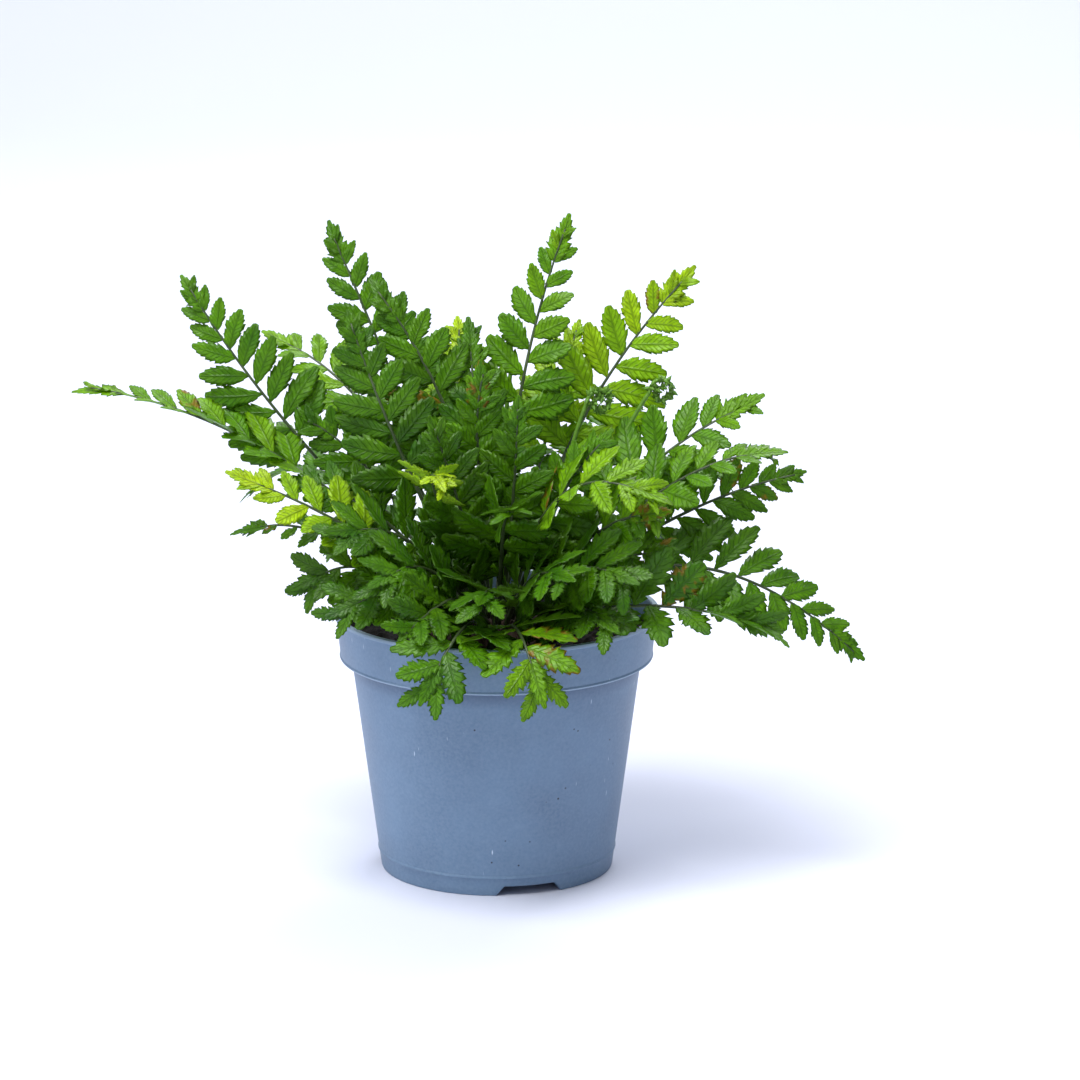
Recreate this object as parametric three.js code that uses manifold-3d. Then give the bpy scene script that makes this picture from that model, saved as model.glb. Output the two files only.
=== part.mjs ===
// A young fern in a 12 cm grower's pot: pot, root ball, rhizome clump, fronds, crosiers and bark.
// Millimetres, +Z up, resting on Z = 0. The plant is laid out round the pot's own axis, and the
// whole group is then shifted so that the origin lies under the middle of pot and foliage.
import * as THREE from 'three';
import { mergeVertices } from 'three/addons/utils/BufferGeometryUtils.js';
import Module from 'manifold-3d';

const wasm = await Module();
wasm.setup();

// ---------------------------------------------------------------- driving dimensions
const POT_AXIS = [9, -15];         // where the pot's axis stands in the part's frame
const POT_HEIGHT = 97;
const LIP_RADIUS = 60;             // outside of the bead on the rim
const LIP_HEIGHT = 1.5;
const BAND_TOP_RADIUS = 58.9;
const BAND_FOOT_RADIUS = 57.4;
const BAND_HEIGHT = 17.3;
const BAND_GROOVE = 1.3;           // how far the band's underside is cut back upwards
const BODY_TOP_RADIUS = 53.4;
const BASE_RADIUS = 42.8;
const WALL = 1.1;
const FLOOR_UNDERSIDE = 4;         // the floor stands on a ring this high
const MOULD_LINE_HEIGHT = 7.2;
const MOULD_LINE_RAISE = 0.25;
const NOTCH_CENTRES = [17, 137, 257];   // degrees round from the front, towards +X
const NOTCH_WIDTH = 25;
const NOTCH_TOP_WIDTH = 19;
const NOTCH_HEIGHT = 3.7;
const DRAIN_HOLES = 6;
const DRAIN_RADIUS = 3.2;
const DRAIN_CIRCLE = 31;
const TURNS = 40;                  // facets round the pot

const GAP = 0.3;                   // air kept between neighbouring pieces
const SOIL_LEVEL = 90;
const SOIL_DISH_RADIUS = 27;
const SOIL_DISH_DEPTH = 3;
const CROWN_RADIUS = 25;
const CROWN_HEIGHT = 6;

const STALK = 0.8;                 // half the width of a stalk
const STALK_CORNER = 1;            // how far a stalk's three edges stand from its line
const STALK_STEPS = 9;             // straight lengths that follow a stalk's bend
const STALK_SAMPLES = 40;
const STALK_DISTANCE = 2.3;        // least distance between the middles of two stalks
const FOOT_ASIDES = [0, 20, -20, 40, -40, 60, -60, 80, -80, 110, -110];
const FOOT_OUTS = [1, 1.4, 0.6, 1.8];
const CROSIER_FOOT = 12;           // distance of a crosier's foot from the crown's middle
const CROSIER_BOW = 4;             // how far its stalk bows upwards
const CROSIER_RISE_STEPS = 5;
const COIL_STEPS = 10;
const COIL_RADIUS = 5.2;
const COIL_TURNS = 1.35;
const BLADE_THICKNESS = 0.8;
const WIDEST = 0.38;               // where along a leaflet its widest place is
const CLEARANCE = 0.6;             // how much fatter a leaflet is while its place is tested
const LEAF_RAISES = [8, 24, -10, 40, -28];      // degrees out of the blade's plane
const LEAF_SCALES = [1, 0.8, 0.6];

const OUT = Math.PI / 180;
const ORIGIN = new THREE.Vector2();

// Every frond grows from the crown, passes through its middle point and ends at its tip (mm from
// the pot's axis). blade is the length that carries leaflets, leaf the longest leaflet, turn how
// far the upper face is turned from the sky (0) towards the front (90), pairs the leaflet pairs.
const FRONDS = [
  { mid: [-78, -6, 155], tip: [-149, -12, 183], blade: 90, leaf: 22, turn: 12, pairs: 8 },
  { mid: [-70, 4, 158], tip: [-113, 12, 217], blade: 76, leaf: 25, turn: 75, pairs: 8 },
  { mid: [-32, 16, 165], tip: [-61, 30, 233], blade: 84, leaf: 26, turn: 78, pairs: 8 },
  { mid: [-14, 0, 160], tip: [-44, 6, 216], blade: 72, leaf: 26, turn: 70, pairs: 6 },
  { mid: [-33, -11, 155], tip: [-53, -6, 207], blade: 64, leaf: 25, turn: 72, pairs: 6 },
  { mid: [-46, 40, 160], tip: [-86, 60, 186], blade: 56, leaf: 22, turn: 20, pairs: 5 },
  { mid: [8, 12, 170], tip: [26, 20, 237], blade: 79, leaf: 23, turn: 60, pairs: 7 },
  { mid: [30, 22, 160], tip: [71, 32, 216], blade: 80, leaf: 28, turn: 75, pairs: 7 },
  { mid: [52, 4, 146], tip: [95, 2, 174], blade: 66, leaf: 26, turn: 40, pairs: 5 },
  { mid: [62, -14, 146], tip: [102, -12, 157], blade: 62, leaf: 22, turn: 30, pairs: 5 },
  { mid: [62, 2, 129], tip: [111, 4, 147], blade: 68, leaf: 24, turn: 72, pairs: 8 },
  { mid: [72, -12, 116], tip: [132, -14, 83], blade: 82, leaf: 25, turn: 50, pairs: 8 },
  { mid: [56, -38, 108], tip: [101, -36, 98], blade: 78, leaf: 29, turn: 55, pairs: 6 },
  { mid: [-12, -57, 104], tip: [-25, -72, 83], blade: 56, leaf: 29, turn: 45, pairs: 5 },
  { mid: [9, -60, 103], tip: [16, -75, 83], blade: 52, leaf: 28, turn: 45, pairs: 4 },
  { mid: [-48, -22, 118], tip: [-70, -24, 108], blade: 46, leaf: 22, turn: 55, pairs: 4 },
  { mid: [-62, -4, 126], tip: [-94, 0, 124], blade: 40, leaf: 11, turn: 30, pairs: 4 },
  { mid: [-50, -26, 132], tip: [-94, -30, 154], blade: 60, leaf: 22, turn: 35, pairs: 5 },
  { mid: [24, -34, 148], tip: [59, -50, 149], blade: 56, leaf: 27, turn: 30, pairs: 4 },
  { mid: [-22, -34, 150], tip: [-17, -58, 154], blade: 38, leaf: 18, turn: 20, pairs: 4 },
  { mid: [-6, -6, 150], tip: [-10, 12, 200], blade: 84, leaf: 26, turn: 70, pairs: 7 },
  { mid: [6, -20, 140], tip: [8, -30, 180], blade: 72, leaf: 27, turn: 60, pairs: 6 },
  { mid: [-12, -24, 138], tip: [-22, -36, 174], blade: 70, leaf: 27, turn: 60, pairs: 6 },
  { mid: [20, -22, 138], tip: [40, -28, 168], blade: 66, leaf: 26, turn: 50, pairs: 6 },
  { mid: [30, -40, 122], tip: [48, -56, 118], blade: 54, leaf: 28, turn: 50, pairs: 5 },
  { mid: [-26, -38, 122], tip: [-42, -54, 116], blade: 54, leaf: 28, turn: 50, pairs: 5 },
  { mid: [-36, -36, 112], tip: [-58, -46, 104], blade: 48, leaf: 25, turn: 50, pairs: 4 },
  { mid: [-2, -46, 116], tip: [-6, -68, 112], blade: 58, leaf: 28, turn: 50, pairs: 5 },
  { mid: [14, -42, 120], tip: [26, -64, 122], blade: 58, leaf: 27, turn: 50, pairs: 5 },
  { mid: [42, -22, 120], tip: [64, -32, 124], blade: 48, leaf: 24, turn: 50, pairs: 5 },
  { mid: [-44, 2, 146], tip: [-70, 0, 168], blade: 54, leaf: 25, turn: 60, pairs: 5 },
  { mid: [-46, -14, 138], tip: [-76, -16, 146], blade: 52, leaf: 24, turn: 40, pairs: 5 },
  { mid: [20, 34, 160], tip: [30, 52, 192], blade: 52, leaf: 22, turn: 60, pairs: 5 },
  { mid: [-12, 36, 158], tip: [-14, 60, 192], blade: 52, leaf: 22, turn: 60, pairs: 5 },
  { mid: [34, 50, 146], tip: [52, 86, 150], blade: 60, leaf: 22, turn: 0, pairs: 5 },
  { mid: [2, 58, 148], tip: [0, 102, 146], blade: 64, leaf: 23, turn: 0, pairs: 6 },
  { mid: [-32, 50, 146], tip: [-52, 90, 142], blade: 60, leaf: 22, turn: 0, pairs: 5 },
  { mid: [54, 36, 136], tip: [88, 52, 130], blade: 60, leaf: 22, turn: 10, pairs: 5 },
  { mid: [-58, 34, 138], tip: [-94, 52, 126], blade: 60, leaf: 22, turn: 10, pairs: 5 },
  { mid: [42, 54, 118], tip: [66, 82, 98], blade: 56, leaf: 21, turn: 0, pairs: 5 },
  { mid: [-40, 54, 118], tip: [-64, 82, 96], blade: 56, leaf: 21, turn: 0, pairs: 5 },
  { mid: [8, 62, 124], tip: [10, 98, 108], blade: 56, leaf: 21, turn: 0, pairs: 5 },
  { mid: [3, -33, 136], tip: [6, -60, 146], blade: 58, leaf: 26, turn: 50, pairs: 5 },
  { mid: [-32, -28, 130], tip: [-58, -44, 134], blade: 48, leaf: 25, turn: 50, pairs: 4 },
  { mid: [38, -30, 134], tip: [60, -46, 140], blade: 48, leaf: 24, turn: 50, pairs: 4 },
  { mid: [24, -34, 110], tip: [42, -60, 104], blade: 50, leaf: 27, turn: 55, pairs: 4 },
  { mid: [-14, -36, 110], tip: [-32, -64, 104], blade: 50, leaf: 27, turn: 55, pairs: 4 },
  { mid: [-6, -16, 152], tip: [-4, -26, 192], blade: 76, leaf: 25, turn: 65, pairs: 6 },
];

// Young fronds that are still rolled up: where the coil hangs, and which way it looks.
const CROSIERS = [
  { top: [38, 12, 172], look: 20 },
  { top: [42, 46, 154], look: 60 },
  { top: [61, 21, 174], look: 20 },
  { top: [3, 40, 182], look: 120 },
];

// Bits of bark on the soil: place, turn in degrees and length.
const BARK_CHIPS = [
  { at: [20, -49], turn: 20, length: 5.5 },
  { at: [27, -46], turn: 75, length: 4 },
  { at: [15, -46], turn: 140, length: 3.5 },
  { at: [-34, -38], turn: 50, length: 4.5 },
];

// ---------------------------------------------------------------- materials
const plain = (color, roughness) => new THREE.MeshStandardMaterial({ color, roughness, metalness: 0 });
const POT_PLASTIC = plain('#7d93ab', 0.45);
const PEAT = plain('#1f1712', 0.95);
const RHIZOME = plain('#3a2a1c', 0.9);
const LEAF = plain('#4f8a1d', 0.5);
const BARK = plain('#9a6234', 0.85);

// ---------------------------------------------------------------- closed solids
// A geometry whose shared vertices are merged, as a manifold-3d solid.
function toSolid(geometry) {
  const bare = geometry.clone();
  bare.deleteAttribute('normal');
  bare.deleteAttribute('uv');
  const merged = mergeVertices(bare, 1e-4);
  return new wasm.Manifold(new wasm.Mesh({
    numProp: 3,
    vertProperties: new Float32Array(merged.attributes.position.array),
    triVerts: new Uint32Array(merged.index.array),
  }));
}

function toGeometry(solid) {
  const mesh = solid.getMesh();
  const geometry = new THREE.BufferGeometry();
  geometry.setAttribute('position', new THREE.BufferAttribute(mesh.vertProperties, 3));
  geometry.setIndex(new THREE.BufferAttribute(mesh.triVerts, 1));
  geometry.computeVertexNormals();
  return geometry;
}

// A profile of [radius, height] pairs turned about the Z axis.
function turned(profile, segments = TURNS) {
  const points = profile.map(([radius, height]) => new THREE.Vector2(radius, height));
  return new THREE.LatheGeometry(points, segments).rotateX(Math.PI / 2);
}

// ---------------------------------------------------------------- pot
// Radius of the outside of the tapered body at a height.
function bodyRadius(height) {
  const top = POT_HEIGHT - BAND_HEIGHT;
  return BASE_RADIUS + (BODY_TOP_RADIUS - BASE_RADIUS) * (height / top);
}

function pot() {
  const bandFoot = POT_HEIGHT - BAND_HEIGHT;
  const lipFoot = POT_HEIGHT - LIP_HEIGHT;
  const floorTop = FLOOR_UNDERSIDE + WALL;
  const line = MOULD_LINE_HEIGHT;
  const wall = toSolid(turned([
    [0, FLOOR_UNDERSIDE],
    [BASE_RADIUS - 2.2, FLOOR_UNDERSIDE],
    [BASE_RADIUS - 2.4, 0],
    [BASE_RADIUS - 0.3, 0],
    [BASE_RADIUS, 0.5],
    [bodyRadius(line) - 0.05, line - 0.6],
    [bodyRadius(line) + MOULD_LINE_RAISE, line],
    [bodyRadius(line) - 0.05, line + 0.6],
    [BODY_TOP_RADIUS, bandFoot + BAND_GROOVE],
    [BAND_FOOT_RADIUS - 0.5, bandFoot],
    [BAND_FOOT_RADIUS, bandFoot + 0.3],
    [BAND_TOP_RADIUS, lipFoot],
    [LIP_RADIUS, lipFoot + 0.4],
    [LIP_RADIUS, POT_HEIGHT - 0.4],
    [LIP_RADIUS - 0.5, POT_HEIGHT],
    [BAND_TOP_RADIUS - WALL, POT_HEIGHT],
    [BAND_FOOT_RADIUS - WALL, bandFoot + BAND_GROOVE + WALL],
    [BODY_TOP_RADIUS - WALL, bandFoot + BAND_GROOVE + WALL],
    [bodyRadius(floorTop) - WALL, floorTop],
    [0, floorTop],
  ]));

  const cutters = [];
  const slot = new THREE.Shape([
    new THREE.Vector2(-NOTCH_WIDTH / 2, -1),
    new THREE.Vector2(NOTCH_WIDTH / 2, -1),
    new THREE.Vector2(NOTCH_TOP_WIDTH / 2, NOTCH_HEIGHT),
    new THREE.Vector2(-NOTCH_TOP_WIDTH / 2, NOTCH_HEIGHT),
  ]);
  for (const angle of NOTCH_CENTRES) {
    // the slot is drawn in the XZ plane and runs out through the ring towards the front
    const cut = new THREE.ExtrudeGeometry(slot, { depth: 16, bevelEnabled: false });
    cut.rotateX(Math.PI / 2).translate(0, -BASE_RADIUS + 10, 0).rotateZ(angle * OUT);
    cutters.push(cut);
  }
  for (let hole = 0; hole < DRAIN_HOLES; hole += 1) {
    const drill = new THREE.CylinderGeometry(DRAIN_RADIUS, DRAIN_RADIUS, 8, 12).rotateX(Math.PI / 2);
    const angle = (hole + 0.5) * (2 * Math.PI / DRAIN_HOLES);
    drill.translate(DRAIN_CIRCLE * Math.cos(angle), DRAIN_CIRCLE * Math.sin(angle), FLOOR_UNDERSIDE);
    cutters.push(drill);
  }
  let solid = wall;
  for (const cutter of cutters) solid = solid.subtract(toSolid(cutter));
  return toGeometry(solid);
}

// ---------------------------------------------------------------- root ball and crown
function soil() {
  const floorTop = FLOOR_UNDERSIDE + WALL;
  const step = POT_HEIGHT - BAND_HEIGHT + BAND_GROOVE + WALL;
  const inside = WALL + GAP;
  return turned([
    [0, floorTop + GAP],
    [bodyRadius(floorTop) - inside, floorTop + GAP],
    [bodyRadius(step) - inside - 0.3, step + GAP],
    [BAND_FOOT_RADIUS - inside, step + GAP],
    [BAND_FOOT_RADIUS - inside + 0.5, SOIL_LEVEL - 1],
    [BAND_FOOT_RADIUS - inside - 1, SOIL_LEVEL],
    [SOIL_DISH_RADIUS + 5, SOIL_LEVEL],
    [SOIL_DISH_RADIUS, SOIL_LEVEL - SOIL_DISH_DEPTH],
    [0, SOIL_LEVEL - SOIL_DISH_DEPTH],
  ], 32);
}

// Height of the crown's rounded top at a distance from the axis.
function crownTop(radius) {
  const share = Math.min(radius / CROWN_RADIUS, 1);
  return SOIL_LEVEL - SOIL_DISH_DEPTH + GAP + CROWN_HEIGHT * (1 - 0.6 * share * share);
}

function crown() {
  const foot = SOIL_LEVEL - SOIL_DISH_DEPTH + GAP;
  const rings = [1, 0.75, 0.5, 0.25].map((share) => share * CROWN_RADIUS);
  return turned([
    [0, foot],
    [CROWN_RADIUS, foot],
    ...rings.map((radius) => [radius, crownTop(radius)]),
    [0, crownTop(0)],
  ], 24);
}

// ---------------------------------------------------------------- fronds
// A stalk from the crown through a frond's middle point to its tip. Flatter fronds leave the
// crown further from its middle; aside turns the foot round the crown, out moves it outwards.
function stalkFrom(frond, aside, out) {
  const mid = new THREE.Vector3(...frond.mid);
  const tip = new THREE.Vector3(...frond.tip);
  const rise = mid.z - SOIL_LEVEL;
  const steep = rise / Math.hypot(mid.x, mid.y, rise);
  const radius = (4 + 17 * (1 - steep)) * out;
  const angle = Math.atan2(mid.y, mid.x) + aside * OUT;
  const foot = new THREE.Vector3(radius * Math.cos(angle), radius * Math.sin(angle), 0);
  foot.z = crownTop(radius) + GAP + STALK;
  const bend = mid.multiplyScalar(2).addScaledVector(foot, -0.5).addScaledVector(tip, -0.5);
  return new THREE.QuadraticBezierCurve3(foot, bend, tip);
}

// Whether a line stays further than the least stalk distance from every spot in a list.
function isFree(line, taken) {
  return line.getPoints(STALK_SAMPLES).every((spot) => (
    taken.every((other) => spot.distanceTo(other) > STALK_DISTANCE)));
}

// Each stalk in turn takes the nearest free place on the crown, so that no two ever touch.
// The spots along every stalk are added to the list taken.
function stalkLines(fronds, taken) {
  return fronds.map((frond, index) => {
    const tries = FOOT_OUTS.flatMap((out) => FOOT_ASIDES.map((aside) => stalkFrom(frond, aside, out)));
    const line = tries.find((one) => isFree(one, taken));
    if (!line) console.warn(`no free place for the stalk of frond ${index + 1}`);
    taken.push(...(line ?? tries[0]).getPoints(STALK_SAMPLES));
    return line ?? tries[0];
  });
}

// Where the blade stands at a length along the stalk's straight steps: the spot, the stalk's
// direction, the way the upper face looks and the direction across the blade.
function bladeFrame(line, turn, along) {
  const share = along / line.getLength();
  const step = Math.floor(share * STALK_STEPS);
  const from = line.getPointAt(step / STALK_STEPS);
  const spot = from.lerp(line.getPointAt((step + 1) / STALK_STEPS), share * STALK_STEPS - step);
  const tangent = line.getTangentAt(share);
  const look = new THREE.Vector3(0, -Math.sin(turn * OUT), Math.cos(turn * OUT));
  const face = look.addScaledVector(tangent, -look.dot(tangent)).normalize();
  return { spot, tangent, face, across: face.clone().cross(tangent) };
}

// The leaflets up both sides of a blade, one side half a step ahead of the other: where each
// joins the midrib, its slant, length and width. They slant and shorten towards the tip.
function leaflets(frond, length) {
  const step = frond.blade / (frond.pairs + 1.2);
  const list = [];
  for (let pair = 0; pair < frond.pairs; pair += 1) {
    for (const side of [1, -1]) {
      const place = pair + (side > 0 ? 0.2 : 0.7);
      const share = place / (frond.pairs + 0.8);
      list.push({
        side,
        at: length - frond.blade + place * step,
        slant: (70 - 32 * share) * OUT,
        long: frond.leaf * Math.pow(1 - share, 0.7) * (pair === 0 ? 0.9 : 1),
        wide: 0.8 * step * (1 - 0.35 * share),
      });
    }
  }
  return list;
}

// One leaflet, raised by an angle out of the blade's plane. It is an octahedron drawn out into a
// flat lens: it starts in the middle of the stalk, is widest near its base and ends in a point.
function leafletLens(leaf, frame, raise, scale, thickness) {
  const long = leaf.long * scale;
  const wide = leaf.wide * Math.sqrt(scale);
  const lens = new THREE.OctahedronGeometry(1);
  const spots = lens.attributes.position;
  for (let index = 0; index < spots.count; index += 1) {
    const x = spots.getX(index);
    spots.setX(index, WIDEST + x * (x < 0 ? WIDEST : 1 - WIDEST));
  }
  lens.scale(long, wide / 2, thickness / 2);
  const out = frame.across.clone().multiplyScalar(leaf.side * Math.cos(raise));
  out.addScaledVector(frame.face, Math.sin(raise));
  const forward = frame.tangent.clone().multiplyScalar(Math.cos(leaf.slant));
  forward.addScaledVector(out, Math.sin(leaf.slant));
  const normal = frame.tangent.clone().cross(out);
  const sideways = normal.clone().cross(forward);
  const pose = new THREE.Matrix4().makeBasis(forward, sideways, normal).setPosition(frame.spot);
  return lens.applyMatrix4(pose);
}

// Everything placed so far that a leaflet has to keep clear of, with its bounding box.
const placed = [];

function boxOf(solid) {
  const { min, max } = solid.boundingBox();
  return new THREE.Box3(new THREE.Vector3(...min), new THREE.Vector3(...max));
}

function remember(solid, owner) {
  placed.push({ solid, owner, box: boxOf(solid) });
}

// The name of the first other piece that a solid would run into, or an empty string.
function blocker(solid, owner) {
  const box = boxOf(solid);
  for (const other of placed) {
    if (other.owner === owner || !box.intersectsBox(other.box)) continue;
    const shared = solid.intersect(other.solid);
    const meets = !shared.isEmpty();
    shared.delete();
    if (meets) return other.owner;
  }
  return '';
}

// A leaflet that would grow into its neighbours is raised, lowered or shortened until it is
// clear of them. One that finds no room at all is left off.
function fitted(leaf, frame, owner) {
  for (const scale of LEAF_SCALES) {
    for (const raise of LEAF_RAISES) {
      const room = toSolid(leafletLens(leaf, frame, raise * OUT, scale, BLADE_THICKNESS + CLEARANCE));
      if (!blocker(room, owner)) {
        remember(room, owner);
        return toSolid(leafletLens(leaf, frame, raise * OUT, scale, BLADE_THICKNESS));
      }
      room.delete();
    }
  }
  return null;
}

// A three-edged rod along a stalk's line.
function rod(line, half) {
  const corners = [0, 120, 240].map((turn) => new THREE.Vector2(half, 0).rotateAround(ORIGIN, turn * OUT));
  const options = { extrudePath: line, steps: STALK_STEPS, bevelEnabled: false };
  return new THREE.ExtrudeGeometry(new THREE.Shape(corners), options);
}

// One frond: the stalk, its leaflets and the lobed end of the blade, joined as they grew.
function frondShape(frond, line, owner) {
  const length = line.getLength();
  let solid = toSolid(rod(line, STALK_CORNER));
  for (const leaf of leaflets(frond, length)) {
    const plate = fitted(leaf, bladeFrame(line, frond.turn, leaf.at), owner);
    if (plate) solid = solid.add(plate);
  }
  const end = { side: 1, slant: 0, long: 0.26 * frond.leaf + 5, wide: 0.16 * frond.leaf + 2.5 };
  const plate = fitted(end, bladeFrame(line, frond.turn, length - 0.6 * end.long), owner);
  if (plate) solid = solid.add(plate);
  return toGeometry(solid);
}

// ---------------------------------------------------------------- crosiers
// The stalk of a crosier, from the crown to where its coil begins. It bows upwards on the way.
function crosierRise({ top, look }, aside, out) {
  const heading = Math.atan2(top[1], top[0]) + aside * OUT;
  const radius = CROSIER_FOOT * out;
  const foot = new THREE.Vector3(radius * Math.cos(heading), radius * Math.sin(heading), 0);
  foot.z = crownTop(radius) + GAP + STALK;
  const coilStart = new THREE.Vector3(...top);
  coilStart.x -= COIL_RADIUS * Math.cos(look * OUT);
  coilStart.y -= COIL_RADIUS * Math.sin(look * OUT);
  const bowed = foot.clone().lerp(coilStart, 0.6);
  bowed.z += CROSIER_BOW;
  const bend = bowed.multiplyScalar(2).addScaledVector(foot, -0.5).addScaledVector(coilStart, -0.5);
  return new THREE.QuadraticBezierCurve3(foot, bend, coilStart);
}

// The tube of a crosier: its rise, then a spiral that winds inwards in an upright plane.
function crosier({ top, look }, rise) {
  const across = new THREE.Vector3(Math.cos(look * OUT), Math.sin(look * OUT), 0);
  const points = rise.getPoints(CROSIER_RISE_STEPS).slice(0, -1);
  for (let step = 0; step <= COIL_STEPS; step += 1) {
    const angle = Math.PI - COIL_TURNS * 2 * Math.PI * step / COIL_STEPS;
    const radius = COIL_RADIUS * (1 - 0.7 * step / COIL_STEPS);
    const spot = new THREE.Vector3(...top).addScaledVector(across, radius * Math.cos(angle));
    points.push(spot.setZ(top[2] + radius * Math.sin(angle)));
  }
  const round = new THREE.Shape().absarc(0, 0, STALK, 0, 2 * Math.PI);
  const extrudePath = new THREE.CatmullRomCurve3(points);
  return new THREE.ExtrudeGeometry(round, { extrudePath, steps: 30, curveSegments: 3, bevelEnabled: false });
}

// ---------------------------------------------------------------- bark
function barkChip({ at, turn, length }) {
  const outline = new THREE.Shape([
    new THREE.Vector2(-length / 2, -length * 0.2),
    new THREE.Vector2(length * 0.3, -length * 0.28),
    new THREE.Vector2(length / 2, length * 0.1),
    new THREE.Vector2(-length * 0.1, length * 0.3),
  ]);
  const chip = new THREE.ExtrudeGeometry(outline, { depth: 1.2, bevelEnabled: false });
  return chip.rotateZ(turn * OUT).translate(at[0], at[1], SOIL_LEVEL + GAP);
}

// ---------------------------------------------------------------- assembly
const fern = new THREE.Group();
fern.position.set(POT_AXIS[0], POT_AXIS[1], 0);

function add(name, geometry, material) {
  const mesh = new THREE.Mesh(geometry, material);
  mesh.name = name;
  fern.add(mesh);
}

const potShape = pot();
add('pot', potShape, POT_PLASTIC);
add('soil', soil(), PEAT);
add('crown', crown(), RHIZOME);
remember(toSolid(potShape), 'pot');
remember(toSolid(soil()), 'soil');

BARK_CHIPS.forEach((chip, index) => add(`bark_chip_${index + 1}`, barkChip(chip), BARK));
// All the stalks are placed before any leaflet, so that the leaflets make room for them.
const taken = [];
const lines = stalkLines(FRONDS, taken);
const names = FRONDS.map((frond, index) => `frond_${String(index + 1).padStart(2, '0')}`);
lines.forEach((line, index) => remember(toSolid(rod(line, STALK_CORNER + CLEARANCE)), names[index]));
CROSIERS.forEach((item, index) => {
  const tries = FOOT_OUTS.flatMap((out) => FOOT_ASIDES.map((aside) => crosierRise(item, aside, out)));
  const rise = tries.find((one) => isFree(one, taken));
  if (!rise) console.warn(`no free place for crosier ${index + 1}`);
  const shape = crosier(item, rise ?? tries[0]);
  add(`crosier_${index + 1}`, shape, LEAF);
  remember(toSolid(shape), `crosier_${index + 1}`);
  taken.push(...(rise ?? tries[0]).getPoints(STALK_SAMPLES));
});
FRONDS.forEach((frond, index) => {
  add(names[index], frondShape(frond, lines[index], names[index]), LEAF);
});

export default fern;
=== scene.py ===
"""A young fern in a 12 cm grower's pot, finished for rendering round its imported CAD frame."""

import bpy
import numpy as np
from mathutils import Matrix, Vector


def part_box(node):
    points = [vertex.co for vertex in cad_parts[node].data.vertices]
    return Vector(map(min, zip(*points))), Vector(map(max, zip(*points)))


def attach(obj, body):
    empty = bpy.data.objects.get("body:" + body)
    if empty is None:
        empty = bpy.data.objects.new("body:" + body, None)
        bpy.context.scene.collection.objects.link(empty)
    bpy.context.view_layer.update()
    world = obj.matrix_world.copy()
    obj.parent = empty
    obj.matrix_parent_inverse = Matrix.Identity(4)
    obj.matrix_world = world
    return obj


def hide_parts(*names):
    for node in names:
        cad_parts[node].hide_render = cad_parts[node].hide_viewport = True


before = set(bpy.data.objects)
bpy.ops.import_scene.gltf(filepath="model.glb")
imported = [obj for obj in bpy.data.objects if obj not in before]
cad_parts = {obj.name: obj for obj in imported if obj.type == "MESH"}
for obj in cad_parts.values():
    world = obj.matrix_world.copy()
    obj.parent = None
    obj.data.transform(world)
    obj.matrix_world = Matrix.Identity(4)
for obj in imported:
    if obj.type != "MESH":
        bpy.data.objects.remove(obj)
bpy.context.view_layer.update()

# ---------------------------------------------------------------- camera
# A long portrait lens two metres in front of the pot and looking slightly down at the plant.
# The place where it looks is measured from the pot's own axis, in millimetres.
MM = 0.001
pot_low, pot_high = (np.array(corner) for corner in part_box("pot"))
pot_axis = np.array([(pot_low[0] + pot_high[0]) / 2, (pot_low[1] + pot_high[1]) / 2, 0.0])

LOOK_RIGHT = 16.0
LOOK_HEIGHT = 123.0
CAMERA_DISTANCE = 2000.0
CAMERA_PITCH = np.radians(13.9)
SENSOR_WIDTH = 36.0
LENS = 182.0

look_at = pot_axis + np.array([LOOK_RIGHT, 0.0, LOOK_HEIGHT]) * MM
back = np.array([0.0, -np.cos(CAMERA_PITCH), np.sin(CAMERA_PITCH)])
camera_data = bpy.data.cameras.new("studio_camera")
camera_data.lens = LENS
camera_data.sensor_width = SENSOR_WIDTH
camera_data.clip_end = 20.0
camera = bpy.data.objects.new("studio_camera", camera_data)
camera.location = look_at + back * CAMERA_DISTANCE * MM
camera.rotation_euler = Vector(-back).to_track_quat("-Z", "Y").to_euler()
bpy.context.scene.collection.objects.link(camera)
bpy.context.scene.camera = camera

# ---------------------------------------------------------------- pot
# The pot is one thin shell of polypropylene, injection moulded in a dull blue-grey. Its rim
# has a stiffening band with a bead on top, and its foot is a ring broken by three drain notches.
POT_HEIGHT = 97.0
LIP_RADIUS = 60.0
LIP_HEIGHT = 1.5
BAND_TOP_RADIUS = 58.9
BAND_FOOT_RADIUS = 57.4
BAND_HEIGHT = 17.3
BODY_TOP_RADIUS = 53.4
BASE_RADIUS = 42.8
WALL = 1.1
FLOOR_UNDERSIDE = 4.0
BAND_GROOVE = 1.3
MOULD_LINE = 7.2
NOTCH_CENTRES = np.radians([17.0, 137.0, 257.0])
NOTCH_HALF = np.radians(17.0)
NOTCH_TOP_HALF = np.radians(13.0)
NOTCH_HEIGHT = 3.7
DRAIN_HOLES = 6
DRAIN_RADIUS = 3.2
DRAIN_CIRCLE = 31.0


def linear(colour):
    """Turns an sRGB hex colour into the linear RGBA that a shader socket takes."""
    value = np.array([int(colour[place:place + 2], 16) for place in (1, 3, 5)]) / 255
    low = value / 12.92
    high = ((value + 0.055) / 1.055) ** 2.4
    return (*np.where(value <= 0.04045, low, high), 1.0)


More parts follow.
